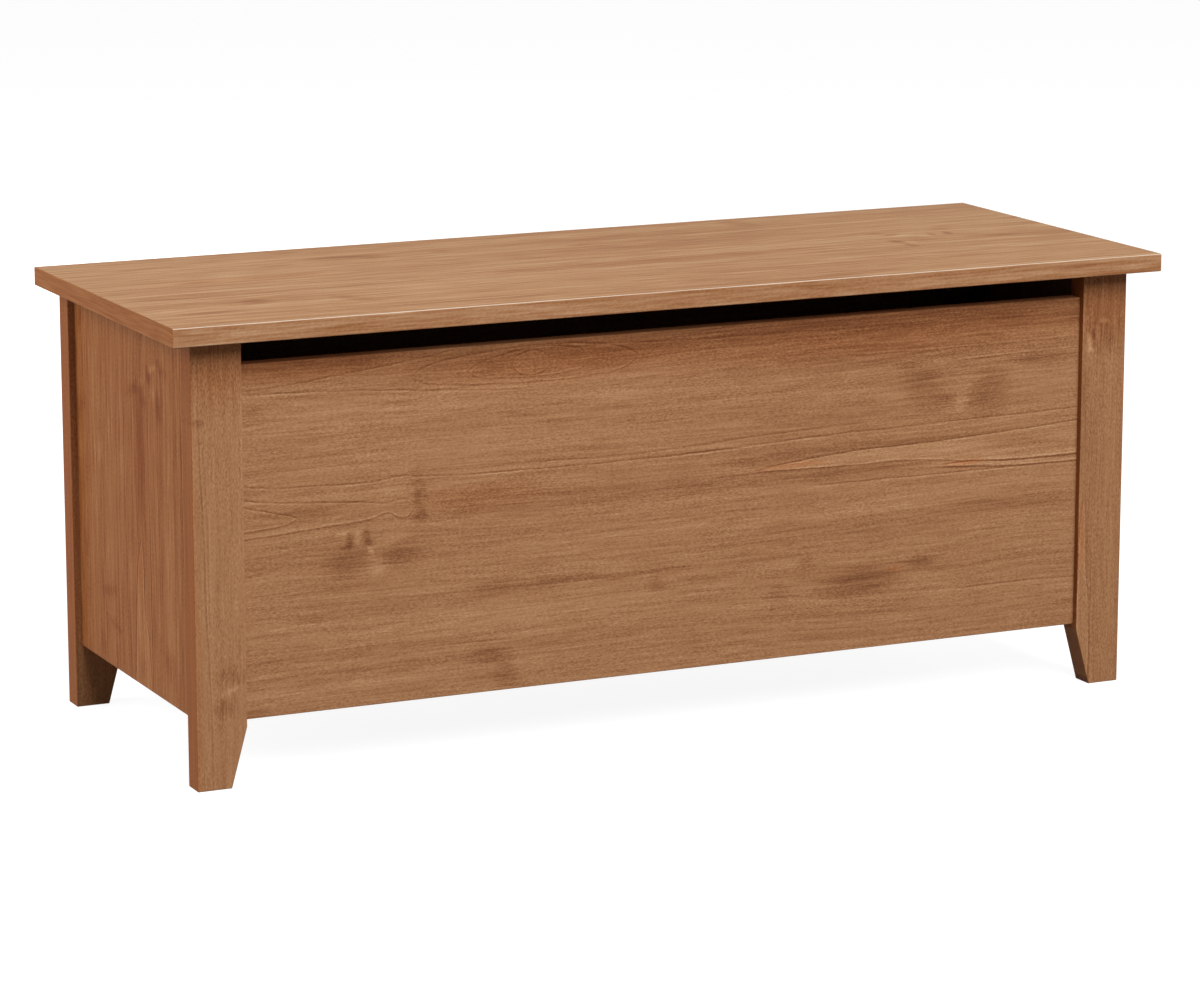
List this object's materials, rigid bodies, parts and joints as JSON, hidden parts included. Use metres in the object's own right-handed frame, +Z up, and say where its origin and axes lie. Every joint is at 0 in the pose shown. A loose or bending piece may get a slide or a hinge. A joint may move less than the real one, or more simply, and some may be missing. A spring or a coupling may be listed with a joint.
{
  "type": "toy box",
  "caption": "Long wooden toy box on flat tapered legs, with a hinged overhanging lid, a finger gap along the front and damped lid stays inside.",
  "frame": {"origin": "on the floor under the middle of the lid", "axes": "+X to the right along the chest, +Y to the back, +Z up; the front faces -Y"},
  "size_m": [1.05, 0.4064, 0.444],
  "materials": {
    "brown_wood": "satin walnut-brown board with pine-like grain",
    "batten_wood": "plain sawn softwood",
    "dowel_wood": "fluted beech",
    "bolt_steel": "zinc plated",
    "cam_zinc": "bare die cast zinc",
    "screw_steel": "zinc plated",
    "hinge_steel": "nickel plated",
    "pin_steel": "bright",
    "stay_black_paint": "satin black",
    "stay_plastic": "matte black",
    "stay_chrome": "polished",
    "bracket_steel": "zinc plated",
    "clip_steel": "dark spring steel"
  },
  "bodies": {
    "carcass": {"front_left_leg": "brown_wood", "front_right_leg": "brown_wood", "rear_left_leg": "brown_wood", "rear_right_leg": "brown_wood", "left_side_panel": "brown_wood", "right_side_panel": "brown_wood", "front_panel": "brown_wood", "back_panel": "brown_wood", "base_panel": "brown_wood", "front_batten": "batten_wood", "rear_batten": "batten_wood", "left_batten": "batten_wood", "right_batten": "batten_wood", "wooden_dowels": "dowel_wood", "cam_bolts": "bolt_steel", "cam_locks": "cam_zinc", "batten_screws": "screw_steel", "left_hinge_carcass_leaf": "hinge_steel", "right_hinge_carcass_leaf": "hinge_steel", "left_hinge_pin": "pin_steel", "right_hinge_pin": "pin_steel", "hinge_carcass_screws": "screw_steel", "left_stay_carcass_bracket": "bracket_steel", "right_stay_carcass_bracket": "bracket_steel", "stay_carcass_screws": "screw_steel", "stay_carcass_clips": "clip_steel"},
    "lid": {"lid_panel": "brown_wood", "left_hinge_lid_leaf": "hinge_steel", "right_hinge_lid_leaf": "hinge_steel", "hinge_lid_screws": "screw_steel", "left_stay_lid_bracket": "bracket_steel", "right_stay_lid_bracket": "bracket_steel", "stay_lid_screws": "screw_steel", "stay_lid_clips": "clip_steel"},
    "left_stay_cylinder": {"left_stay_tube": "stay_black_paint", "left_stay_tube_eye": "stay_plastic", "left_stay_guide": "stay_plastic"},
    "left_stay_plunger": {"left_stay_rod": "stay_chrome", "left_stay_rod_eye": "stay_plastic", "left_stay_piston": "stay_plastic"},
    "right_stay_cylinder": {"right_stay_tube": "stay_black_paint", "right_stay_tube_eye": "stay_plastic", "right_stay_guide": "stay_plastic"},
    "right_stay_plunger": {"right_stay_rod": "stay_chrome", "right_stay_rod_eye": "stay_plastic", "right_stay_piston": "stay_plastic"}
  },
  "joints": [
    {"name": "lid_hinge", "type": "hinge", "parent": "carcass", "child": "lid", "pos_m": [0, 0.2034, 0.426], "axis": [-1, 0, 0], "range_deg": [0, 80]},
    {"name": "left_stay_lower_pivot", "type": "hinge", "parent": "carcass", "child": "left_stay_cylinder", "pos_m": [-0.464, 0.159, 0.25466], "axis": [-1, 0, 0], "range_deg": [0, 40]},
    {"name": "left_stay_upper_pivot", "type": "hinge", "parent": "lid", "child": "left_stay_plunger", "pos_m": [-0.464, 0.02712, 0.41], "axis": [-1, 0, 0], "range_deg": [-40, 0]},
    {"name": "right_stay_lower_pivot", "type": "hinge", "parent": "carcass", "child": "right_stay_cylinder", "pos_m": [0.464, 0.159, 0.25466], "axis": [-1, 0, 0], "range_deg": [0, 40]},
    {"name": "right_stay_upper_pivot", "type": "hinge", "parent": "lid", "child": "right_stay_plunger", "pos_m": [0.464, 0.02712, 0.41], "axis": [-1, 0, 0], "range_deg": [-40, 0]}
  ],
  "couplings": [
    {"joint": "left_stay_lower_pivot", "follows": "lid_hinge", "ratio": 0.5},
    {"joint": "left_stay_upper_pivot", "follows": "lid_hinge", "ratio": -0.5},
    {"joint": "right_stay_lower_pivot", "follows": "lid_hinge", "ratio": 0.5},
    {"joint": "right_stay_upper_pivot", "follows": "lid_hinge", "ratio": -0.5}
  ]
}
